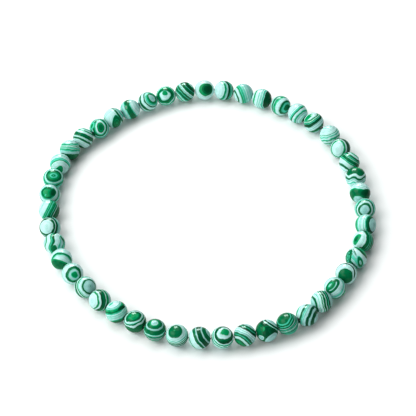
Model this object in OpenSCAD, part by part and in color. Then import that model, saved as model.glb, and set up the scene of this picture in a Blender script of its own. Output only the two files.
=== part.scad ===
// Stretch bracelet: round banded stone beads strung edge to edge on a clear elastic cord.
// It has no clasp. It lies flat in one loop, as it settles by itself on a table.
// Millimetres, +Z up. The origin is on the table, at the middle of the loop's box.

/* [Beads] */
// Number of beads on the string
bead_count = 47; // [41:1:55]
// Diameter of each round bead
bead_d = 4; // [3.5:0.5:6]
// Diameter of the hole drilled through each bead
hole_d = 1; // [0.9:0.05:1.2]
// Air between two beads that sit next to each other
bead_gap = 0.06; // [0.06:0.01:0.2]

/* [Elastic cord] */
// Thickness of the clear elastic cord
cord_d = 0.5; // [0.3:0.05:0.5]
// Length of cord that shows where the beads have parted most
bare_cord = 0.65; // [0.3:0.05:1.5]
// Bead after which it shows, counting clockwise seen from above
bare_after = 11; // [1:1:40]

/* [Lie of the loop] */
// Direction from the loop's middle to the first bead, anticlockwise from +X
first_bearing = 122; // [90:1:150]
// How strongly the loop strays from a true circle, as a share of its real lie
stray_share = 1; // [0:0.1:1]

/* [Hidden] */
// Waves that bend the circle into its real lie, one row for each number of waves round the loop:
// how many waves, how far their crests stand out, and the bearing of one crest
WAVES = 0;
HEIGHT = 1;
CREST = 2;
LIE = [
    [2, 0.38, -77],
    [3, 0.35, 57],
    [4, 0.19, -6],
    [5, 0.07, 24],
    [6, 0.14, -24],
    [7, 0.15, -7],
    [8, 0.11, -14],
];

// Beads that sit off that line: the bead's number, and how far out from the middle it is pushed
BEAD = 0;
OUT = 1;
PUSHED = [
    [13, -0.15],
    [16, -0.15],
    [17, 0.1],
    [24, 0.35],
    [33, 0.2],
    [34, 0.2],
    [36, -0.1],
    [39, 0.1],
    [44, 0.1],
    [46, -0.45],
];

// Places where neighbours have parted a little more: the bead before the place, and how much more
EXTRA = 1;
PARTED = [
    [1, 0.1],
    [8, 0.2],
    [bare_after, bare_cord - bead_gap],
    [19, 0.25],
    [20, 0.2],
    [30, 0.1],
    [39, 0.25],
];

// Distance along the cord from one bead's middle to the next
pitch = bead_d + bead_gap;
// Real length of the string, round its closed centreline
string_len = bead_count * pitch + parted_before(bead_count + 1);
// Radius of the true circle with that length
round_r = string_len / (2 * PI);
// Height of the beads' middles, and so of the cord, over the table
mid_z = bead_d / 2;
// Steps that the loop's line is measured in, one for each degree
STEPS = 360;
// Sides of the cord's cross-section
CORD_SIDES = 8;

function total(list, i = 0) = i < len(list) ? list[i] + total(list, i + 1) : 0;
function unit(v) = v / norm(v);
function wrap(i) = (i - 1 + bead_count) % bead_count + 1;
function parted_before(i) = total([for (p = PARTED) if (p[BEAD] < i) p[EXTRA]]);

// The loop's line before it is sized, at an angle counted clockwise from the first bead
function line_r(bearing) =
    round_r + stray_share * total([for (w = LIE) w[HEIGHT] * cos(w[WAVES] * (bearing - w[CREST]))]);
function line_at(turned) =
    let (bearing = first_bearing - turned) line_r(bearing) * [cos(bearing), sin(bearing)];

// Length run along that line after each step, and the angle reached there
steps = [for (k = [0 : STEPS]) norm(line_at(k + 1) - line_at(k))];
run = [for (k = 0, length = 0; k <= STEPS; length = length + steps[k], k = k + 1) length];
angle_after = [for (k = [0 : STEPS]) [run[k], k]];
// Size factor that gives the line the string's real length
to_size = string_len / run[STEPS];

// Middle of a bead: its place along the string, then any push out from the line
function run_to(i) = (i - 1) * pitch + parted_before(i);
function push_of(i) = stray_share * total([for (p = PUSHED) if (p[BEAD] == i) p[OUT]]);
function strung_at(i) = to_size * line_at(lookup(run_to(i) / to_size, angle_after));
function placed_at(i) = strung_at(i) + push_of(i) * unit(strung_at(i));

placed = [for (i = [1 : bead_count]) placed_at(i)];
box_low = [min([for (p = placed) p.x]), min([for (p = placed) p.y])];
box_high = [max([for (p = placed) p.x]), max([for (p = placed) p.y])];
centres = [for (p = placed) p - (box_low + box_high) / 2];
function centre(i) = centres[wrap(i) - 1];

// Direction of a bead's hole: along the string, from the bead before to the bead after
function along(i) = unit(centre(i + 1) - centre(i - 1));

// The cord runs straight through each hole and bends between two beads.
// Where the beads have parted it bends at the mouth of each hole.
function bends_after(i) = i == bare_after
    ? [centre(i) + along(i) * pitch / 2, centre(i + 1) - along(wrap(i + 1)) * pitch / 2]
    : [(centre(i) + along(i) * pitch / 2 + centre(i + 1) - along(wrap(i + 1)) * pitch / 2) / 2];
cord_route = [for (i = [1 : bead_count]) each bends_after(i)];
function route_at(k) = cord_route[(k + len(cord_route)) % len(cord_route)];

function bead_name(i) = str("bead_", i < 10 ? "0" : "", i);

// Half of a drilled ball cut through its hole, whose axis is the line x = 0
module half_section() {
    intersection() {
        circle(d = bead_d, $fn = 48);
        translate([hole_d / 2, -bead_d])
            square([bead_d, 2 * bead_d]);
    }
}

// A polished ball of stone with a hole drilled through it along the string
module bead(i) {
    color("mediumseagreen")
        translate([centre(i).x, centre(i).y, mid_z])
            rotate([0, 0, atan2(along(i).y, along(i).x)])
                rotate([0, 90, 0])
                    rotate_extrude($fn = 48)
                        half_section();
}

// One endless cord through every bead, swept round its route
module elastic_cord() {
    bends = len(cord_route);
    points = [
        for (k = [0 : bends - 1])
            let (
                ahead = unit(route_at(k + 1) - route_at(k - 1)),
                outward = [-ahead.y, ahead.x]
            )
            for (s = [0 : CORD_SIDES - 1])
                let (a = 360 * s / CORD_SIDES, sideways = cord_d / 2 * cos(a) * outward)
                [route_at(k).x + sideways.x, route_at(k).y + sideways.y, mid_z + cord_d / 2 * sin(a)]
    ];
    faces = [
        for (k = [0 : bends - 1], s = [0 : CORD_SIDES - 1])
            let (next_k = (k + 1) % bends, next_s = (s + 1) % CORD_SIDES)
            [
                k * CORD_SIDES + s,
                k * CORD_SIDES + next_s,
                next_k * CORD_SIDES + next_s,
                next_k * CORD_SIDES + s
            ]
    ];
    color("white")
        polyhedron(points = points, faces = faces);
}

for (i = [1 : bead_count])
    bead(i);
elastic_cord();
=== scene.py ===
# %% [markdown]
# # A stretch bracelet of banded green stone
# The real bracelet is a string of small round beads on a clear elastic cord, with no clasp. Each bead was
# cut from a block of layered green and white stone, tumbled round, polished and drilled. The bracelet lies
# flat in one loop, and the hollow for the wrist stays open, with nothing in it.
# The drilled balls and the cord come packed from the CAD part. We load them first, because every piece
# made here has to sit exactly where the CAD says.

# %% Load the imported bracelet
import math

import bmesh
import bpy
from mathutils import Matrix, Vector


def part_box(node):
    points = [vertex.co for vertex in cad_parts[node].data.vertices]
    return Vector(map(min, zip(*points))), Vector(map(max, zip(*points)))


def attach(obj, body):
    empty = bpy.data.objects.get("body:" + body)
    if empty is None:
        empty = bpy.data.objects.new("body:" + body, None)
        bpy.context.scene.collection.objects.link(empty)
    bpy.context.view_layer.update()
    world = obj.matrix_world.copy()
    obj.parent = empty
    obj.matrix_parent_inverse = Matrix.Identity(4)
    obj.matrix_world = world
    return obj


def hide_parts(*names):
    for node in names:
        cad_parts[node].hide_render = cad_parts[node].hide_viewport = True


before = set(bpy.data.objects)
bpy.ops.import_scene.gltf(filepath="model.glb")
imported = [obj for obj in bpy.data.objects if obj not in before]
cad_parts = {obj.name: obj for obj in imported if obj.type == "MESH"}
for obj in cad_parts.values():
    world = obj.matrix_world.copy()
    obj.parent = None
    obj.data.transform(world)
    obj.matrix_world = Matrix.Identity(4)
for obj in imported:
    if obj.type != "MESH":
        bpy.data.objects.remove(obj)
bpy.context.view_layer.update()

MM = 0.001
UP = Vector((0, 0, 1))
print("packed nodes:", len(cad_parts))

# %% [markdown]
# ## The camera
# The photo looks down on the loop from the front, about 50 degrees above the table, with a long lens from
# about three hand widths away. A camera can be aimed with a constraint, or by building its axes from the
# line of sight. We build the axes, because they are used again to say where a layer lies on a bead. The
# lens, the distance and the angles are those that bring the beads' middles to their places in the photo.

# %% Place the camera
LENS_MM = 125.2
FILM_WIDTH_MM = 36
NEAREST_SEEN = 10 * MM
HEIGHT_ANGLE = math.radians(49.67)
TILT_OF_FRAME = math.radians(0.325)
AIM = Vector((0.23, -0.76, 2.0)) * MM
DISTANCE = 277.7 * MM

to_camera = Vector((0, -math.cos(HEIGHT_ANGLE), math.sin(HEIGHT_ANGLE)))
level_right = Vector((1, 0, 0))
level_up = to_camera.cross(level_right)
photo_right = math.cos(TILT_OF_FRAME) * level_right + math.sin(TILT_OF_FRAME) * level_up
photo_up = to_camera.cross(photo_right)
camera_place = AIM + DISTANCE * to_camera

camera_data = bpy.data.cameras.new("photo_camera")
camera_data.lens = LENS_MM
camera_data.sensor_width = FILM_WIDTH_MM
camera_data.clip_start = NEAREST_SEEN
camera = bpy.data.objects.new("photo_camera", camera_data)
axes = Matrix((photo_right, photo_up, to_camera)).transposed()
camera.matrix_world = Matrix.Translation(camera_place) @ axes.to_4x4()
bpy.context.scene.collection.objects.link(camera)
bpy.context.scene.camera = camera
print("camera at", [round(value / MM, 1) for value in camera_place], "mm")

# %% [markdown]
# ## Where the beads lie
# Each drilled ball in the frame is alike on both sides of its middle, so the middle of its box is the bead's
# middle. The hole follows the string: it points from the bead before to the bead after. Reading both from
# the frame keeps our beads on the CAD ones, even if the loop's lie is changed there later.
# The beads in the photo look 1.5 % larger than the CAD's, so ours are turned that much fuller. Two whole
# balls of that size would all but touch, but each hole cuts off the caps where they come nearest.

# %% Read the beads' middles and the directions of their holes
FULLER = 1.015
HOLE_R = 0.5 * MM

bead_names = sorted(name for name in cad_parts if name.startswith("bead_"))
count = len(bead_names)
middles = []
for name in bead_names:
    low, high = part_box(name)
    middles.append((low + high) / 2)

holes = []
for i in range(count):
    holes.append((middles[(i + 1) % count] - middles[i - 1]).normalized())

low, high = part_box(bead_names[0])
BEAD_R = FULLER * (high.z - low.z) / 2
print(count, "beads of", round(2 * BEAD_R / MM, 2), "mm")

# %% [markdown]
# ## The shape of a bead
# A bead is drilled after it is round, then tumbled once more, which eases the sharp edge at each mouth of
# the hole. We could cut a cylinder from a ball with a Boolean, but that leaves long thin faces at the
# mouths. Turning a section round the hole's axis, as on a lathe, gives even faces and a soft edge. The
# section is a closed line: along the hole's wall, round one eased edge, over the ball, round the other.

# %% Draw half of the bead's section
EASED_EDGE = 0.07 * MM
WALL_STEPS = 4
EDGE_STEPS = 4
BALL_STEPS = 32


def bead_section():
    """Points of the section in order: x runs along the hole, y is the distance from its axis."""
    edge_y = HOLE_R + EASED_EDGE
    edge_x = math.sqrt((BEAD_R - EASED_EDGE) ** 2 - edge_y ** 2)
    lean = math.atan2(edge_y, edge_x)
    edge = []
    for step in range(EDGE_STEPS):
        a = -math.pi / 2 + (lean + math.pi / 2) * step / EDGE_STEPS
        edge.append((edge_x + EASED_EDGE * math.cos(a), edge_y + EASED_EDGE * math.sin(a)))
    points = [(edge_x * (2 * step / WALL_STEPS - 1), HOLE_R) for step in range(1, WALL_STEPS)]
    # On this side the wall runs straight into the edge, so the edge's first point isn't needed.
    points.extend(edge[1:])
    for step in range(BALL_STEPS + 1):
        a = lean + (math.pi - 2 * lean) * step / BALL_STEPS
        points.append((BEAD_R * math.cos(a), BEAD_R * math.sin(a)))
    points.extend((-x, y) for x, y in reversed(edge))
    return points


section = bead_section()
print("the section has", len(section), "points")

# %% [markdown]
# ## Turning the bead
# Copies of the section stand round the hole like the pages of an open book, and faces join each page to the
# next. A Screw modifier does the same. We join them in code, because we can then put the faces of the hole's
# wall in a slot of their own: the polish doesn't reach in there.

# %% Turn the section into a drilled bead
TURNS = 48
STONE_SLOT = 0
BORE_SLOT = 1
WALL_SLACK = 0.01 * MM


def turned_bead():
    """One drilled bead at the origin, with its hole along X."""
    shape = bmesh.new()
    pages = []
    for step in range(TURNS):
        a = 2 * math.pi * step / TURNS
        pages.append([shape.verts.new((x, y * math.cos(a), y * math.sin(a))) for x, y in section])
    for step in range(TURNS):
        here = pages[step]
        beside = pages[(step + 1) % TURNS]
        for k in range(len(section)):
            after = (k + 1) % len(section)
            face = shape.faces.new((here[k], here[after], beside[after], beside[k]))
            face.smooth = True
            in_bore = max(section[k][1], section[after][1]) < HOLE_R + WALL_SLACK
            face.material_index = BORE_SLOT if in_bore else STONE_SLOT
    bmesh.ops.recalc_face_normals(shape, faces=shape.faces)
    mesh = bpy.data.meshes.new("turned_bead")
    shape.to_mesh(mesh)
    shape.free()
    return mesh


bead_form = turned_bead()
print("one bead has", len(bead_form.polygons), "faces")

# %% [markdown]
# ## Colours from a colour picker
# A colour picker gives sRGB values, but light adds up in linear values. One function turns the first into
# the second, by the standard curve, and every colour in this scene goes through it.

# %% Turn sRGB hex into linear


def linear(hex_colour):
    """Linear red, green and blue, then 1 for fully solid."""
    values = []
    for k in (1, 3, 5):
        c = int(hex_colour[k:k + 2], 16) / 255
        values.append(c / 12.92 if c <= 0.04045 else ((c + 0.055) / 1.055) ** 2.4)
    return (*values, 1)


print("pale mint is", [round(value, 3) for value in linear("#B4DFDB")])

# %% [markdown]
# ## One way to add a node
# A material is a small network of nodes. This function adds one node, sets it up and joins its inputs, so
# that each finish below reads like a recipe. A feed is a plain value or another node's output. An input goes
# by its name, or by its place in the list where several have one name: a Math node counts 0, 1, 2, and a Mix
# node has a pair of inputs for numbers and another for colours.

# %% Add a node with its settings and its feeds
NUMBER_A = 2
NUMBER_B = 3
COLOUR_A = 6
COLOUR_B = 7
MIXED_NUMBER = 0
MIXED_COLOUR = 2


def add_node(tree, kind, feeds=None, **settings):
    node = tree.nodes.new(kind)
    for name, value in settings.items():
        setattr(node, name, value)
    for socket, feed in (feeds or {}).items():
        if isinstance(feed, bpy.types.NodeSocket):
            tree.links.new(feed, node.inputs[socket])
        else:
            node.inputs[socket].default_value = feed
    return node


def new_finish(name):
    """An empty material, ready for its nodes."""
    finish = bpy.data.materials.new(name)
    finish.use_nodes = True
    finish.node_tree.nodes.clear()
    return finish


print("materials so far:", len(bpy.data.materials))

# %% [markdown]
# ## The tones of the stone
# Malachite grows in layers, like an onion, from pale mint to a very deep green. The beads are polished, so
# the tones are clear and deep. A letter stands for each tone: W is the palest mint, P a greyer mint, L light
# green, G green, D dark green, K the deepest green, and S a dull grey green. P is partly grey stone and
# partly the palest mint with painted shade, as it looks on the dim side of a bead. S is a painted sheen of
# the main lamp on bead 1, a thin slit of pale stone with painted shade on bead 20, and a small spot on bead
# 8.
# A chart such as "G5 W12 D8" reads outwards in tenths of a millimetre: green for 0.5 mm, palest mint for
# 1.2 mm, dark green for 0.8 mm.

# %% Name the tones and read a chart of layers
TONES = {
    "W": linear("#B4DFDB"),
    # P, a greyer mint: partly grey stone, partly the palest mint with painted shade.
    "P": linear("#92C8C3"),
    "L": linear("#46C0A1"),
    "G": linear("#008D54"),
    "D": linear("#00653C"),
    "K": linear("#004A2C"),
    # S, a dull grey green: a painted sheen on bead 1, and pale stone with painted shade on bead 20's slit.
    "S": linear("#5C8575"),
}
TENTHS_IN_MM = 10


def read_chart(chart):
    """(tone, width in mm) for each layer of a chart."""
    return [(TONES[word[0]], int(word[1:]) / TENTHS_IN_MM) for word in chart.split()]


print("G5 W12 D8 has layers of", [width for tone, width in read_chart("G5 W12 D8")], "mm")

# %% [markdown]
# ## From chart to colour ramp
# A Color Ramp turns a number from 0 to 1 into a colour, so it can hold a chart. With one stop for each layer
# the tones would run into each other all the way. Two stops for each, a little inside its borders, give
# clean layers that blend in a thin line, as the real ones do. A ramp takes 32 stops, so a chart takes 16
# layers.

# %% Lay a chart out on a ramp
SOFT_EDGE_MM = 0.05


def fill_ramp(ramp, layers, reach):
    """Fill the ramp with layers that reach so many mm out. Thin layers keep their middle third clean."""
    stops = []
    reached = 0
    for tone, width in layers:
        inset = min(SOFT_EDGE_MM, width / 3)
        stops.append((reached + inset, tone))
        stops.append((reached + width - inset, tone))
        reached += width
    while len(ramp.elements) < len(stops):
        ramp.elements.new(1)
    for element, (place, tone) in zip(ramp.elements, stops):
        element.position = place / reach
        element.color = tone


print("two layers blend over", 2 * SOFT_EDGE_MM, "mm")

# %% [markdown]
# ## Turning the layers on a bead
# Where a bead's surface cuts through the middle of the onion it shows an eye with rings round it. Where the
# eye is turned away, the rings pass over the bead as stripes. So one chart does for both, once we say where
# the eye lies. We say it as the camera sees the bead: x to the right and y up, with the bead's rim at 1. An
# eye at 1.2 lies behind the rim, 0.2 of the bead's radius farther round. From this we build three axes for
# the layers.

# %% Find the eye's direction and the layers' axes


def seen_from_camera(middle):
    """The bead's own right, up and near directions, as the camera sees it."""
    near = (camera_place - middle).normalized()
    right = (photo_right - photo_right.dot(near) * near).normalized()
    return right, near.cross(right), near


def on_bead(middle, place):
    """Direction from the bead's middle to a place on the face that the camera sees, or round the back."""
    right, up, near = seen_from_camera(middle)
    x, y = place
    out = math.hypot(x, y)
    if out <= 1:
        return x * right + y * up + math.sqrt(1 - out * out) * near
    beyond = out - 1
    return (x / out * right + y / out * up) * math.cos(beyond) - near * math.sin(beyond)


def layer_axes(middle, eye, along):
    """Rotation whose Z goes through the eye and whose X lies at the angle along in the photo. Without an
    angle, X lies at right angles to the way from the bead's middle to the eye."""
    right, up = seen_from_camera(middle)[:2]
    z = on_bead(middle, eye)
    if along is None:
        along = math.degrees(math.atan2(eye[1], eye[0])) + 90
    a = math.radians(along)
    x = math.cos(a) * right + math.sin(a) * up
    x = (x - x.dot(z) * z).normalized()
    return Matrix((x, z.cross(x), z)).transposed()


print("the first bead's near direction is", [round(value, 2) for value in seen_from_camera(middles[0])[2]])

# %% [markdown]
# ## Finding a point among the layers
# The stone has to know where each of its points lies among the layers. A Mapping node counts the point from
# the bead's own middle, along the layers' axes and in millimetres, and stretches one axis where the eye is
# oval. Real layers bulge and pinch, so noise with bulges of 2 to 3 mm then pushes the point about. Blender's
# noise stays mostly within 0.25 of its middle value, 0.5, and we scale it up from there to the push we ask
# for in millimetres.

# %% Place a point among the layers and let noise bend them
BULGES_PER_MM = 0.42
NOISE_MIDDLE = 0.5
NOISE_REACH = 0.25


def among_layers(tree, middle, eye, along, oval):
    """The point in mm from the bead's middle, along the layers' axes."""
    stretch = math.sqrt(oval)
    point = add_node(tree, "ShaderNodeTexCoord")
    in_mm = add_node(tree, "ShaderNodeMapping", vector_type="TEXTURE", feeds={
        "Vector": point.outputs["Object"],
        "Location": middle,
        "Rotation": layer_axes(middle, eye, along).to_euler(),
        "Scale": (MM * stretch, MM / stretch, MM),
    })
    return in_mm.outputs["Vector"]


def bulging(tree, place, seed, bend):
    """The same place pushed about by noise, bend mm or so."""
    bulges = add_node(tree, "ShaderNodeTexNoise", noise_dimensions="4D", feeds={
        "Vector": place,
        "W": seed,
        "Scale": BULGES_PER_MM,
        "Detail": 3,
        "Roughness": 0.55,
    })
    around_zero = add_node(tree, "ShaderNodeVectorMath", operation="SUBTRACT", feeds={
        0: bulges.outputs["Color"],
        1: (NOISE_MIDDLE,) * 3,
    })
    bent = add_node(tree, "ShaderNodeVectorMath", operation="MULTIPLY_ADD", feeds={
        0: around_zero.outputs[0],
        1: (bend / NOISE_REACH,) * 3,
        2: place,
    })
    return bent.outputs[0]


print("the layers' bulges are about", round(1 / BULGES_PER_MM, 1), "mm wide")

# %% [markdown]
# ## Measuring outwards from the eye
# The angle between a point and the eye, times the bead's radius, is the distance round the bead from one to
# the other. Two more forms come from changing that distance. A fan squeezes the layers towards one side and
# widens them towards the other. A ripple sends a wave across them.

# %% Measure how far a point is from the eye


def from_eye(tree, bent, fan, ripple):
    """Distance round the bead in mm. ripple is (height in mm, length in mm, start in degrees) of a wave."""
    outward = add_node(tree, "ShaderNodeVectorMath", operation="NORMALIZE", feeds={0: bent})
    parts = add_node(tree, "ShaderNodeSeparateXYZ", feeds={0: outward.outputs[0]})
    angle = add_node(tree, "ShaderNodeMath", operation="ARCCOSINE", feeds={0: parts.outputs["Z"]})
    distance = add_node(tree, "ShaderNodeMath", operation="MULTIPLY", feeds={
        0: angle.outputs[0],
        1: BEAD_R / MM,
    })
    if fan:
        widen = add_node(tree, "ShaderNodeMath", operation="MULTIPLY_ADD", feeds={
            0: parts.outputs["X"],
            1: fan,
            2: 1,
        })
        distance = add_node(tree, "ShaderNodeMath", operation="MULTIPLY", feeds={
            0: distance.outputs[0],
            1: widen.outputs[0],
        })
    if ripple:
        height, length, start = ripple
        phase = add_node(tree, "ShaderNodeMath", operation="MULTIPLY_ADD", feeds={
            0: parts.outputs["X"],
            1: BEAD_R / MM * 2 * math.pi / length,
            2: math.radians(start),
        })
        wave = add_node(tree, "ShaderNodeMath", operation="SINE", feeds={0: phase.outputs[0]})
        distance = add_node(tree, "ShaderNodeMath", operation="MULTIPLY_ADD", feeds={
            0: wave.outputs[0],
            1: height,
            2: distance.outputs[0],
        })
    return distance.outputs[0]


print("half way round a bead is", round(math.pi * BEAD_R / MM, 2), "mm")

# %% [markdown]
# ## One knob of layers
# Malachite grows as a cluster of knobs, each with its own onion of layers. The ramp gives the tone at a
# distance from the knob's eye. Where the chart ends, the distance runs back again, so the far side of the
# bead carries the same layers. A knob is drawn by its chart, its eye and, where they matter, along and oval
# for an eye that isn't round, bend for the noise, fan and ripple.

# %% Draw the layers round one eye


def knob_of_layers(tree, middle, seed, layers, eye, along=None, oval=1, bend=0.24, fan=0, ripple=None):
    """The place among the layers, the distance from the eye, the tone there, and how far the chart reaches.
    oval is the eye's length over its width, and its length lies at the angle along."""
    place = among_layers(tree, middle, eye, along, oval)
    distance = from_eye(tree, bulging(tree, place, seed, bend), fan, ripple)
    chart = read_chart(layers)
    reach = sum(width for tone, width in chart)
    to_and_fro = add_node(tree, "ShaderNodeMath", operation="PINGPONG", feeds={0: distance, 1: reach})
    share = add_node(tree, "ShaderNodeMath", operation="DIVIDE", feeds={0: to_and_fro.outputs[0], 1: reach})
    tone = add_node(tree, "ShaderNodeValToRGB", feeds={"Fac": share.outputs[0]})
    fill_ramp(tone.color_ramp, chart, reach)
    return place, distance, tone.outputs["Color"], reach


print("a chart of G5 W12 D8 reaches", sum(width for tone, width in read_chart("G5 W12 D8")), "mm")

# %% [markdown]
# ## Younger knobs
# A younger knob grows over the layers of an older one and cuts them off. So the knob that shows most on a
# bead is the ground, and others are laid over it, each as far as its own chart reaches. We could cut the
# mesh there, but the layers lie in the stone, not on it, so only their colour changes hands at the border.

# %% Lay younger knobs over the ground


def cut_by_knobs(tree, middle, seed, knobs, distance, colour):
    """The distance and the colour once the knobs have covered their share of the ground."""
    for knob in knobs:
        away, knob_colour, knob_reach = knob_of_layers(tree, middle, seed, **knob)[1:]
        inside = add_node(tree, "ShaderNodeMapRange", feeds={
            "Value": away,
            "From Min": knob_reach - SOFT_EDGE_MM,
            "From Max": knob_reach,
            "To Min": 1,
            "To Max": 0,
        })
        cut = add_node(tree, "ShaderNodeMix", data_type="RGBA", feeds={
            "Factor": inside.outputs["Result"],
            COLOUR_A: colour,
            COLOUR_B: knob_colour,
        })
        nearer = add_node(tree, "ShaderNodeMix", feeds={
            "Factor": inside.outputs["Result"],
            NUMBER_A: distance,
            NUMBER_B: away,
        })
        colour = cut.outputs[MIXED_COLOUR]
        distance = nearer.outputs[MIXED_NUMBER]
    return distance, colour


print("a knob ends in a border of", SOFT_EDGE_MM, "mm")

# %% [markdown]
# ## Hairlines
# Each layer grew as many thinner ones, which show as light green hairlines along it. Real hairlines are
# finer than 0.2 mm, but wouldn't show in the render, so ours are that wide. Noise along the distance alone
# draws them, because then they follow every bend of the layers. Their colour is multiplied with the
# layer's, so they tint the pale layers and hardly show on the dark ones.

# %% Draw hairlines along the layers
HAIRLINES_PER_MM = 4.5
HAIRLINE_NOISE = (0.5, 0.8)
HAIRLINE_SHARE = 0.65


def hairlined(tree, distance, colour):
    hairlines = add_node(tree, "ShaderNodeTexNoise", noise_dimensions="1D", feeds={
        "W": distance,
        "Scale": HAIRLINES_PER_MM,
        "Detail": 1,
    })
    line_share = add_node(tree, "ShaderNodeMapRange", feeds={
        "Value": hairlines.outputs["Fac"],
        "From Min": HAIRLINE_NOISE[0],
        "From Max": HAIRLINE_NOISE[1],
        "To Min": 0,
        "To Max": HAIRLINE_SHARE,
    })
    lined = add_node(tree, "ShaderNodeMix", data_type="RGBA", blend_type="MULTIPLY", feeds={
        "Factor": line_share.outputs["Result"],
        COLOUR_A: colour,
        COLOUR_B: TONES["L"],
    })
    return lined.outputs[MIXED_COLOUR]


print("hairlines are about", round(1 / HAIRLINES_PER_MM, 2), "mm wide")

# %% [markdown]
# ## The polished stone
# The beads are tumbled malachite, or malachite dust pressed with clear resin. Tumbling leaves a smooth coat
# of polish, which gives the eye deep tones and a small soft gleam, but no mirror. Soft clouds under a
# millimetre wide make the tones a little deeper or paler, vary the polish and dip the surface slightly, as
# the tumbler does. Malachite's IOR is 1.7 to 1.9 and clear resin's 1.5. The gleam in the photo is weak, so
# we take the lower one and turn the glare down as well, as a filter on the lens would.

# %% Make one bead's stone
CLOUDS_PER_MM = 1.3
CLOUD_NOISE = (0.3, 0.7)
CLOUD_TONE = (0.9, 1.1)
POLISH = (0.10, 0.18)
TUMBLED_DIP = 0.04 * MM
STONE_IOR = 1.5
GLARE = 0.08


def spread_of_clouds(tree, clouds, spread):
    """The clouds turned into a value between the two of spread."""
    value = add_node(tree, "ShaderNodeMapRange", feeds={
        "Value": clouds.outputs["Fac"],
        "From Min": CLOUD_NOISE[0],
        "From Max": CLOUD_NOISE[1],
        "To Min": spread[0],
        "To Max": spread[1],
    })
    return value.outputs["Result"]


def banded_stone(name, middle, seed, knobs=(), **ground):
    """The stone of one bead: the layers that show most, then any younger knobs that cut into them."""
    finish = new_finish(name)
    tree = finish.node_tree
    place, distance, colour = knob_of_layers(tree, middle, seed, **ground)[:3]
    distance, colour = cut_by_knobs(tree, middle, seed, knobs, distance, colour)
    clouds = add_node(tree, "ShaderNodeTexNoise", feeds={
        "Vector": place,
        "Scale": CLOUDS_PER_MM,
        "Detail": 2,
    })
    clouded = add_node(tree, "ShaderNodeHueSaturation", feeds={
        "Color": hairlined(tree, distance, colour),
        "Value": spread_of_clouds(tree, clouds, CLOUD_TONE),
    })
    dips = add_node(tree, "ShaderNodeBump", feeds={
        "Height": clouds.outputs["Fac"],
        "Strength": 1,
        "Distance": TUMBLED_DIP,
    })
    stone = add_node(tree, "ShaderNodeBsdfPrincipled", feeds={
        "Base Color": clouded.outputs["Color"],
        "Roughness": spread_of_clouds(tree, clouds, POLISH),
        "Normal": dips.outputs["Normal"],
        "IOR": STONE_IOR,
        "Specular IOR Level": GLARE,
    })
    add_node(tree, "ShaderNodeOutputMaterial", feeds={"Surface": stone.outputs["BSDF"]})
    return finish


print("the polish has a roughness of", POLISH[0], "to", POLISH[1])

# %% [markdown]
# ## The charts of the beads
# No two beads are cut alike. Noise alone could choose the layers, but then no bead would be the one in the
# photo. So each has its own chart, read bead by bead, clockwise from the upper left: first where the
# eye lies, then the layers outwards from it. Layers on the hidden side are guessed to run on the same way.
# The beads at the back are the smallest in the photo, and their charts are the least sure.

# %% Chart the beads at the back
# In all the charts, P is partly grey stone and partly the palest mint with painted shade.
CHARTS = {
    1: dict(eye=(0.80, 0.58), layers="P12 W11 L2 D11 L2 P6 L2 P8 G4", fan=0.12, knobs=[
        # This grey green knob is a painted sheen of the main lamp, not a layer.
        dict(eye=(-0.42, 0.20), layers="S3 G2", along=-70, oval=1.8),
    ]),
    2: dict(eye=(0.45, 0.38), layers="L1 P6 D2 G3 L4 W1 D3 P1 W5 D4 G1 W4 L3 W8", along=-50, oval=1.2),
    3: dict(eye=(-0.10, 0.10), layers="W11 L1 D5 G4 L1 W2 L2 G3 W8", bend=0.42, knobs=[
        dict(eye=(-0.08, 0.33), layers="G5 L1"),
    ]),
    4: dict(eye=(0.70, 0.70), layers="W7 G3 K8 L1 D7 W2 L1 W2 D4 L1 D5 L2 W2 G3 W1 L2"),
    5: dict(eye=(0.13, 0.05), layers="G14 W17 G3 W8 G4 L8", bend=0.35, knobs=[
        dict(eye=(0.36, 0.10), layers="K8 D4 G1"),
    ]),
    6: dict(eye=(-0.80, 0.00), layers="W20 L1 D1 G2 L1 P3 D1 K4 L2 G1 L2 P2 G6"),
    7: dict(eye=(1.09, 0.44), layers="W6 P14 L1 P6 L1 W3 L2 P1 L2 G1 L2 G3 P1 W5 D4 W10", bend=0.1),
    8: dict(eye=(0.93, -0.20), layers="S4 K18 P1 L3 W2 L1 W4 L1 W7 L1 G4 W10"),
    9: dict(eye=(0.62, -0.25), layers="D7 L4 D5 W8 L2 G4 L1 P1 D4 L2 W4 G3 W8", along=20, oval=1.3),
    10: dict(eye=(-0.97, 0.91), layers="L12 W14 P2 W2 L3 G1 D2 W5 L2 G2 P4 W3 L1 W3 D3 G3"),
    11: dict(eye=(-0.50, 0.78), layers="W16 G3 W1 G2 L1 K6 W10 D5 G2 P10", knobs=[
        dict(eye=(-0.58, 0.58), layers="G8 L1", along=35, oval=2),
    ]),
    12: dict(eye=(-0.33, 0.91), layers="W10 L1 W13 G1 L1 W2 L2 W3 L2 G1 W5 G2 L2 W2", bend=0.35),
}
print(len(CHARTS), "beads charted")
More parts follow.
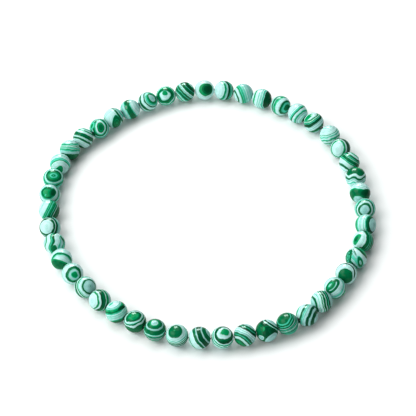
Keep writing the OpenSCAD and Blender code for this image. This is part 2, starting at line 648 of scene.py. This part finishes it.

# %% [markdown]
# ## The right side
# Bead 15 has a ripple, and bead 20 is a whole cluster: four small knobs and one long thin slit cut into
# its ground, the slit in a grey green that holds painted shade. Beads 19 and 22 each show a long slanted
# eye, and bead 16 a long level one.

# %% Chart the beads on the right
CHARTS |= {
    13: dict(eye=(-0.30, -0.08), layers="W14 L1 G4 W3 K9 P4 G4 W8", along=88, oval=1.45),
    14: dict(eye=(0.56, 0.83), layers="W7 L1 G4 L1 W4 D4 L1 G2 P1 G1 D5 L1 G2 W9 D5 W7"),
    15: dict(eye=(0.05, 0.97), layers="G8 D15 W4 D4 P3 W4 L3 W14", ripple=(0.25, 2.2, 40)),
    16: dict(eye=(-0.10, -0.75), layers="P11 G1 D12 G2 L1 W22 G3", fan=0.1, knobs=[
        dict(eye=(0.66, -0.02), layers="K9 D3", along=0, oval=2.3, bend=0.1),
    ]),
    17: dict(eye=(-0.02, -0.08), layers="P9 D5 W4 D3 L3 P3 G2 W5"),
    18: dict(eye=(0.85, 0.00), layers="P13 K3 D4 L2 W2 L1 W7 L1 W4 L3 G6 L2 W4"),
    19: dict(eye=(-0.64, 0.22), layers="W21 D7 L1 D3 L1 D4 L1 K5 P5", along=50, oval=1.2, knobs=[
        dict(eye=(-0.62, 0.18), layers="D4 G5 L1", along=48, oval=2.5),
    ]),
    20: dict(eye=(0.75, 0.75), layers="G11 L1 G1 D6 W9 P7 L4 P4 D3 L3 G4 D6", knobs=[
        dict(eye=(0.38, -0.45), layers="P3 G1 D4 L2", along=-68, oval=2.5, bend=0.1),
        dict(eye=(-0.74, 0.05), layers="G2 L1 D2 L1 D6", along=78, oval=2.2),
        dict(eye=(-0.50, 0.30), layers="D3", along=-10, oval=1.6),
        dict(eye=(0.08, 0.92), layers="G3"),
        # The thin slit is real, drawn in a grey green that holds painted shade.
        dict(eye=(-0.16, 0.60), layers="S4", along=-68, oval=8, bend=0.03),
    ]),
    21: dict(eye=(-0.22, 0.06), layers="W21 K4 W8 G3 W8", knobs=[
        dict(eye=(-0.08, -0.27), layers="D16 W3"),
    ]),
    22: dict(eye=(-0.25, 0.20), layers="W19 P3 L3 P4 G5", along=42, oval=1.3, knobs=[
        dict(eye=(-0.22, 0.20), layers="G6 P2 D6", along=50, oval=2.2, bend=0.1),
        dict(eye=(-0.42, 0.27), layers="P2 L1 G3 D4", along=46, oval=2.65, bend=0.1),
    ]),
    23: dict(eye=(1.15, 0.39), layers="P19 K4 L1 D4 W1 D4 W1 G2 W4 L1 W4 D4 P12"),
    24: dict(eye=(0.90, -0.35), layers="P9 D2 K6 P4 K5 P6 L2 P1 D4 W8 L2 G4 W6"),
}
print(len(CHARTS), "beads charted")

# %% [markdown]
# ## The front
# These beads are the nearest, and the darkest of the loop. Bead 26 is nearly all deep green, so its chart
# runs far out in dark tones, and two pale knobs of greyer mint, partly painted shade, peep in from below. A
# small lighter green knob on its upper left is a painted sheen of the main lamp.

# %% Chart the beads at the front
CHARTS |= {
    25: dict(eye=(-0.38, 0.62), layers="D14 L2 D3 L1 D3 P1 D2 L1 D2 W2 D1 L1 D3 L1 D2 L3"),
    26: dict(eye=(0.57, 0.82), layers="P13 W1 K4 L1 W1 K8 D28", bend=0.12, knobs=[
        dict(eye=(0.12, -0.20), layers="K11 D2"),
        # This lighter green spot is a painted sheen of the main lamp, not a layer of the stone.
        dict(eye=(-0.24, 0.14), layers="G3 D1", along=80, oval=2),
        dict(eye=(0.57, -0.08), layers="K8 D1", along=-25, oval=2),
        dict(eye=(-0.52, -0.62), layers="P5 W1"),
        dict(eye=(0.50, -0.80), layers="P15"),
    ]),
    27: dict(eye=(0.62, 1.05), layers="P16 D5 L1 K5 W6 P4 D4 L1 D3 W4 D4 G3 D5 P4"),
    28: dict(eye=(0.22, 0.45), layers="G9 W5 D3 K4 W3 L1 G2 W2 L1 G2 W10", bend=0.4),
    29: dict(eye=(0.85, 0.45), layers="P9 D8 P3 K8 P2 D5 W11 G3 W6"),
    30: dict(eye=(-0.18, 0.43), layers="G2 D12 W6 L2 W2 G2 W1 D4 W1 K4 P6"),
    31: dict(eye=(-0.02, 0.66), layers="P7 G3 D5 P3 D8 L1 W1 D1 L1 D3 P1 D2 W1 D3 L2 D5"),
    32: dict(eye=(-0.20, 0.50), layers="G8 D5 W3 L1 D3 W3 D19 P5 D8", along=28, oval=1.5, bend=0.4),
    33: dict(eye=(-0.38, 0.82), layers="W14 L1 P2 L1 G3 D2 G1 L2 W2 L1 W3 L1 W4 L2 G2 D5", knobs=[
        dict(eye=(0.50, 0.42), layers="K7", along=35, oval=3.4),
        dict(eye=(-0.50, 0.73), layers="G1 L4", along=25, oval=1.8),
    ]),
    34: dict(eye=(-0.70, 0.00), layers="W14 G3 W3 K3 D5 W1 G5 P8 G6 W6", along=90, oval=1.35),
    35: dict(eye=(0.40, 0.10), layers="G1 P11 D4 W5 L1 W1 G3 W2 D6 W3"),
    36: dict(eye=(0.15, -0.08), layers="G6 L1 P4 G1 D5 W8 G1 W4 G3 W8", bend=0.35),
}
print(len(CHARTS), "beads charted")

# %% [markdown]
# ## The left side
# The eye of bead 38 lies well round the back, so its layers pass over the front as nearly straight stripes,
# with a ripple in them. Bead 39 has the widest fan: its rings crowd together on the right.

# %% Chart the beads on the left
CHARTS |= {
    37: dict(eye=(-0.05, -0.47), layers="P8 W10 L1 G2 D2 L1 W18", knobs=[
        dict(eye=(-0.33, -0.56), layers="D12 G3", along=0, oval=1.8, bend=0.3),
    ]),
    38: dict(eye=(-1.25, 0.10), layers="P16 G3 W8 G2 L2 D5 W9 L2 P6 G2 L4", bend=0.15,
             ripple=(0.18, 2.3, -40), knobs=[
        dict(eye=(0.74, 0.45), layers="D4 G1", along=115, oval=2.2, bend=0.1),
        dict(eye=(0.50, -0.15), layers="G1 L2", along=80, oval=6, bend=0.1),
        dict(eye=(-0.03, -0.52), layers="D6 G1", along=75, oval=1.2),
    ]),
    39: dict(eye=(-0.32, 0.08), layers="W14 D6 W2 K6 L3 P9", along=0, fan=0.25),
    40: dict(eye=(-0.90, 0.44), layers="W14 L1 W11 L1 G2 L1 G2 L2 G3 D2 L1 D3 W1 D8", bend=0.12),
    41: dict(eye=(-0.22, 0.17), layers="G9 D4 L2 W5 P3 D3 L4 W8", along=0, oval=1.3, knobs=[
        dict(eye=(0.28, 0.20), layers="K5 D3", along=70, oval=1.4),
        dict(eye=(-0.42, -0.05), layers="L2 G3", along=60, oval=1.5),
    ]),
    42: dict(eye=(0.05, 0.33), layers="L1 D1 G1 L3 G4 D5 L1 W3 L3 G2 D2 L4 W6", along=0, oval=1.4),
    43: dict(eye=(-0.05, -0.62), layers="W20 G2 L5 W6 L2 W8", knobs=[
        dict(eye=(-0.16, -0.68), layers="L2 G7", along=65, oval=1.7),
    ]),
    44: dict(eye=(0.00, 1.00), layers="W8 P3 W6 L1 G2 L2 W1 G2 W2 G1 L2 W1 G2 L2 P5 D10", bend=0.35,
             knobs=[
        dict(eye=(0.80, -0.55), layers="D4 G1", along=20, oval=3),
    ]),
    45: dict(eye=(0.38, 1.00), layers="W9 G2 L2 W3 G3 L1 W5 D8 W3 D4 W11 G2 D6"),
    46: dict(eye=(0.12, 0.10), layers="D5 G2 D2 W3 L2 G2 D3 P2 L3 G2 P6", along=92, oval=1.66, knobs=[
        dict(eye=(-0.78, 0.25), layers="G4 L3 G1", along=60, oval=1.6),
        dict(eye=(-0.60, -0.50), layers="D5"),
    ]),
    47: dict(eye=(0.33, -0.55), layers="G3 D3 G1 D6 L1 W30", along=95, oval=2.4, knobs=[
        dict(eye=(0.95, 0.75), layers="P14 L4 P3 D4 G1"),
        dict(eye=(-0.90, -0.55), layers="P9 L3 P2 G2"),
    ]),
}
print(len(CHARTS), "beads charted")

# %% [markdown]
# ## The drilled hole
# A thin diamond drill wet with water leaves the hole's wall ground, not polished. Ground stone scatters
# light, so it looks paler and dull, with fine pits from the grit. Real pits are finer, and ours are drawn
# about 0.2 mm wide so that they show. All beads can share this finish, because no layers are seen in there.

# %% Make the wall of the holes
PITS_PER_MM = 6
PIT_DEPTH = 0.03 * MM

bore_wall = new_finish("drilled_stone_bore")
tree = bore_wall.node_tree
place = add_node(tree, "ShaderNodeTexCoord")
grit = add_node(tree, "ShaderNodeTexNoise", feeds={
    "Vector": place.outputs["Object"],
    "Scale": PITS_PER_MM / MM,
    "Detail": 2,
})
ground = add_node(tree, "ShaderNodeMix", data_type="RGBA", feeds={
    "Factor": grit.outputs["Fac"],
    COLOUR_A: TONES["L"],
    COLOUR_B: TONES["G"],
})
pits = add_node(tree, "ShaderNodeBump", feeds={
    "Height": grit.outputs["Fac"],
    "Strength": 1,
    "Distance": PIT_DEPTH,
})
matte = add_node(tree, "ShaderNodeBsdfPrincipled", feeds={
    "Base Color": ground.outputs[MIXED_COLOUR],
    "Roughness": 0.7,
    "Normal": pits.outputs["Normal"],
    "IOR": 1.6,
})
add_node(tree, "ShaderNodeOutputMaterial", feeds={"Surface": matte.outputs["BSDF"]})
print("the hole's wall is", bore_wall.name)

# %% [markdown]
# ## Stringing the beads
# Every bead uses the same turned shape, laid along its own hole, with its own stone. The new bead takes the
# place of the plain CAD ball and rides on the frame's one body. A bracelet bends as a string does, not at
# joints, so there is nothing else for a bead to ride on. The seed gives each bead noise of its own.

# %% Make and place all the beads
SEED_STEP = 7.3


def strung_bead(i):
    number = i + 1
    middle = middles[i]
    hole = holes[i]
    side = UP.cross(hole)
    mesh = bead_form.copy()
    mesh.transform(Matrix.Translation(middle) @ Matrix((hole, side, UP)).transposed().to_4x4())
    stone = banded_stone(f"banded_stone_{number:02d}", middle, seed=SEED_STEP * i, **CHARTS[number])
    mesh.materials.append(stone)
    mesh.materials.append(bore_wall)
    bead = bpy.data.objects.new(f"stone_{number:02d}", mesh)
    bpy.context.scene.collection.objects.link(bead)
    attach(bead, "root")
    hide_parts(bead_names[i])
    return bead


beads = [strung_bead(i) for i in range(count)]
bpy.data.meshes.remove(bead_form)
print(len(beads), "beads strung")

# %% [markdown]
# ## The cord's route
# Clear elastic is a stretched thread of soft plastic, half a millimetre thick. It runs straight through each
# hole and bends between two beads, or at both mouths where the beads have parted. A bevelled curve would do
# for it, but its rings turn freely. We sweep the rings ourselves, and take each bend with three of them, so
# that the thread never creases. The middle one lies on a smooth curve from the first to the third.

# %% Find the cord's route
CORD_R = 0.25 * MM
PAST_MOUTH = 0.03 * MM
ROUNDED = 0.3 * MM
PARTED = 4.4 * MM


def cord_bends():
    """The points where the cord would bend if it were a thin wire."""
    bends = []
    straight = BEAD_R + PAST_MOUTH
    for i in range(count):
        after = (i + 1) % count
        apart = (middles[after] - middles[i]).length
        leaves = middles[i] + holes[i] * straight
        enters = middles[after] - holes[after] * straight
        bends.extend([leaves, enters] if apart > PARTED else [(leaves + enters) / 2])
    return bends


bends = cord_bends()
route = []
for k, bend_at in enumerate(bends):
    back = (bends[k - 1] - bend_at).normalized() * ROUNDED
    ahead = (bends[(k + 1) % len(bends)] - bend_at).normalized() * ROUNDED
    route.append(bend_at + back)
    route.append(bend_at + (back + ahead) / 4)
    route.append(bend_at + ahead)
length = sum((route[k] - route[k - 1]).length for k in range(len(route)))
print("the cord is", round(length / MM, 1), "mm round")

# %% [markdown]
# ## Sweeping the cord
# At each point of the route stands a ring, square to the way ahead, and faces join each ring to the next.
# The last ring joins the first, so the cord is one closed loop. Its knot is hidden in a bead and isn't made.

# %% Sweep the cord
CORD_SIDES = 16


def swept_cord():
    """A closed tube round the route."""
    shape = bmesh.new()
    rings = []
    for k in range(len(route)):
        ahead = (route[(k + 1) % len(route)] - route[k - 1]).normalized()
        side = UP.cross(ahead)
        ring = []
        for s in range(CORD_SIDES):
            a = 2 * math.pi * s / CORD_SIDES
            off = CORD_R * (math.cos(a) * side + math.sin(a) * UP)
            ring.append(shape.verts.new(route[k] + off))
        rings.append(ring)
    for k in range(len(rings)):
        here = rings[k]
        beside = rings[(k + 1) % len(rings)]
        for s in range(CORD_SIDES):
            after = (s + 1) % CORD_SIDES
            face = shape.faces.new((here[s], here[after], beside[after], beside[s]))
            face.smooth = True
    bmesh.ops.recalc_face_normals(shape, faces=shape.faces)
    mesh = bpy.data.meshes.new("clear_cord")
    shape.to_mesh(mesh)
    shape.free()
    return mesh


clear_cord = bpy.data.objects.new("clear_cord", swept_cord())
bpy.context.scene.collection.objects.link(clear_cord)
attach(clear_cord, "root")
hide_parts("elastic_cord")
print("the cord has", len(clear_cord.data.polygons), "faces")

# %% [markdown]
# ## Clear elastic
# The thread is extruded polyurethane. It is clear but slightly milky, in clouds about 0.1 mm wide, and a
# little dull where the milk lies near the skin. So most of its light goes through, and the rest is grey. It
# bends light like other soft plastics, with an IOR near 1.5.

# %% Make the elastic
MILK_PER_MM = 8
DULLNESS = (0.12, 0.3)
LIGHT_LET_THROUGH = 0.85

elastic = new_finish("extruded_clear_polyurethane")
tree = elastic.node_tree
place = add_node(tree, "ShaderNodeTexCoord")
milk = add_node(tree, "ShaderNodeTexNoise", feeds={
    "Vector": place.outputs["Object"],
    "Scale": MILK_PER_MM / MM,
    "Detail": 2,
})
milky = add_node(tree, "ShaderNodeMix", data_type="RGBA", feeds={
    "Factor": milk.outputs["Fac"],
    COLOUR_A: linear("#C9CAC9"),
    COLOUR_B: linear("#ABA9A9"),
})
dull = add_node(tree, "ShaderNodeMapRange", feeds={
    "Value": milk.outputs["Fac"],
    "To Min": DULLNESS[0],
    "To Max": DULLNESS[1],
})
thread = add_node(tree, "ShaderNodeBsdfPrincipled", feeds={
    "Base Color": milky.outputs[MIXED_COLOUR],
    "Roughness": dull.outputs["Result"],
    "IOR": 1.5,
    "Transmission Weight": LIGHT_LET_THROUGH,
})
add_node(tree, "ShaderNodeOutputMaterial", feeds={"Surface": thread.outputs["BSDF"]})
clear_cord.data.materials.append(elastic)
print("the cord is made of", elastic.name)

# %% [markdown]
# ## The table
# The bracelet lies on smooth white card, lit until it is nearly white. A large plane does for it. It is
# only a stage, so it isn't part of the bracelet. Smooth card is dull, with a faint mottle from its fibres.
# Ours is drawn about 3 mm wide, coarser than the real one, in two whites that hardly differ.

# %% Lay the white card
HALF_CARD = 1.5
MOTTLE_PER_MM = 0.3

card_mesh = bpy.data.meshes.new("white_card")
corners = [(x * HALF_CARD, y * HALF_CARD, 0) for x, y in ((-1, -1), (1, -1), (1, 1), (-1, 1))]
card_mesh.from_pydata(corners, [], [(0, 1, 2, 3)])
card = bpy.data.objects.new("white_card", card_mesh)
bpy.context.scene.collection.objects.link(card)

paper = new_finish("smooth_white_card")
tree = paper.node_tree
place = add_node(tree, "ShaderNodeTexCoord")
fibres = add_node(tree, "ShaderNodeTexNoise", feeds={
    "Vector": place.outputs["Object"],
    "Scale": MOTTLE_PER_MM / MM,
    "Detail": 3,
})
tint = add_node(tree, "ShaderNodeMix", data_type="RGBA", feeds={
    "Factor": fibres.outputs["Fac"],
    COLOUR_A: linear("#F0F2F2"),
    COLOUR_B: linear("#F4F6F6"),
})
sheet = add_node(tree, "ShaderNodeBsdfPrincipled", feeds={
    "Base Color": tint.outputs[MIXED_COLOUR],
    "Roughness": 0.6,
    "Specular IOR Level": 0.1,
})
add_node(tree, "ShaderNodeOutputMaterial", feeds={"Surface": sheet.outputs["BSDF"]})
card_mesh.materials.append(paper)
print("card of", 2 * HALF_CARD, "m")

# %% [markdown]
# ## The light
# The shadows in the photo are soft and fall to the right and a little forwards. Large lamps close by make
# soft shadows, so the main light is a large one on the left, and another stands behind the loop. A third,
# low in front, lifts the near sides of the beads. A fourth shows only in reflections: it puts the small soft
# gleam near the top of each bead, a little cooler than white, without lighting anything.

# %% Set up the lamps


def soft_box(name, bearing, rise, distance, size, power, only_gleam=False):
    """A square lamp that faces the loop. bearing is from the right, anticlockwise, in degrees, rise is
    upwards in degrees, distance and size are in metres and power is in watts."""
    lamp = bpy.data.lights.new(name, "AREA")
    lamp.shape = "SQUARE"
    lamp.size = size
    lamp.energy = power
    a = math.radians(bearing)
    e = math.radians(rise)
    toward = Vector((math.cos(a) * math.cos(e), math.sin(a) * math.cos(e), math.sin(e)))
    facing = toward.to_track_quat("Z", "Y").to_matrix().to_4x4()
    box = bpy.data.objects.new(name, lamp)
    box.matrix_world = Matrix.Translation(distance * toward) @ facing
    box.visible_diffuse = not only_gleam
    bpy.context.scene.collection.objects.link(box)
    return box


soft_box("main_light", bearing=183, rise=45, distance=0.8, size=0.6, power=6.4)
soft_box("back_light", bearing=102, rise=54, distance=0.9, size=0.8, power=5.7)
soft_box("front_light", bearing=-125, rise=25, distance=1.2, size=0.8, power=5.2)
gleam = soft_box("gleam_light", bearing=101, rise=30, distance=1.0, size=0.45, power=34, only_gleam=True)
gleam.data.color = linear("#E2FBF4")[:3]

# %% [markdown]
# ## The room
# A white room shows behind the card where the camera sees past it, but if it lit the beads as brightly, the
# shadows would be gone. So the world is white to the camera and gives the rest of the scene only a faint
# fill. A Light Path node tells the two apart.

# %% Fill the room
ROOM_SEEN = 1.0
ROOM_FILL = 0.12

room = bpy.data.worlds.new("pale_room")
bpy.context.scene.world = room
room.use_nodes = True
tree = room.node_tree
tree.nodes.clear()
ray = add_node(tree, "ShaderNodeLightPath")
seen = add_node(tree, "ShaderNodeBackground", feeds={"Color": linear("#FFFFFF"), "Strength": ROOM_SEEN})
filling = add_node(tree, "ShaderNodeBackground", feeds={"Color": linear("#F4F8F8"), "Strength": ROOM_FILL})
either = add_node(tree, "ShaderNodeMixShader", feeds={
    0: ray.outputs["Is Camera Ray"],
    1: filling.outputs[0],
    2: seen.outputs[0],
})
add_node(tree, "ShaderNodeOutputWorld", feeds={"Surface": either.outputs[0]})
print("the room fills in", ROOM_FILL, "of its white")

# %% [markdown]
# ## Printing the picture's tones
# The photo is bright and crisp with full colours. The Standard view keeps colours as they are worked out,
# where Blender's usual one would grey the whites. Each pixel gathers light from a small patch, 1.5 pixels
# wide unless we say otherwise. A slightly narrower one keeps the thin layers crisp.

# %% Choose the view of the colours
PATCH_IN_PIXELS = 1.4

view = bpy.context.scene.view_settings
view.view_transform = "Standard"
view.look = "None"
bpy.context.scene.cycles.filter_width = PATCH_IN_PIXELS
print("view:", view.view_transform)
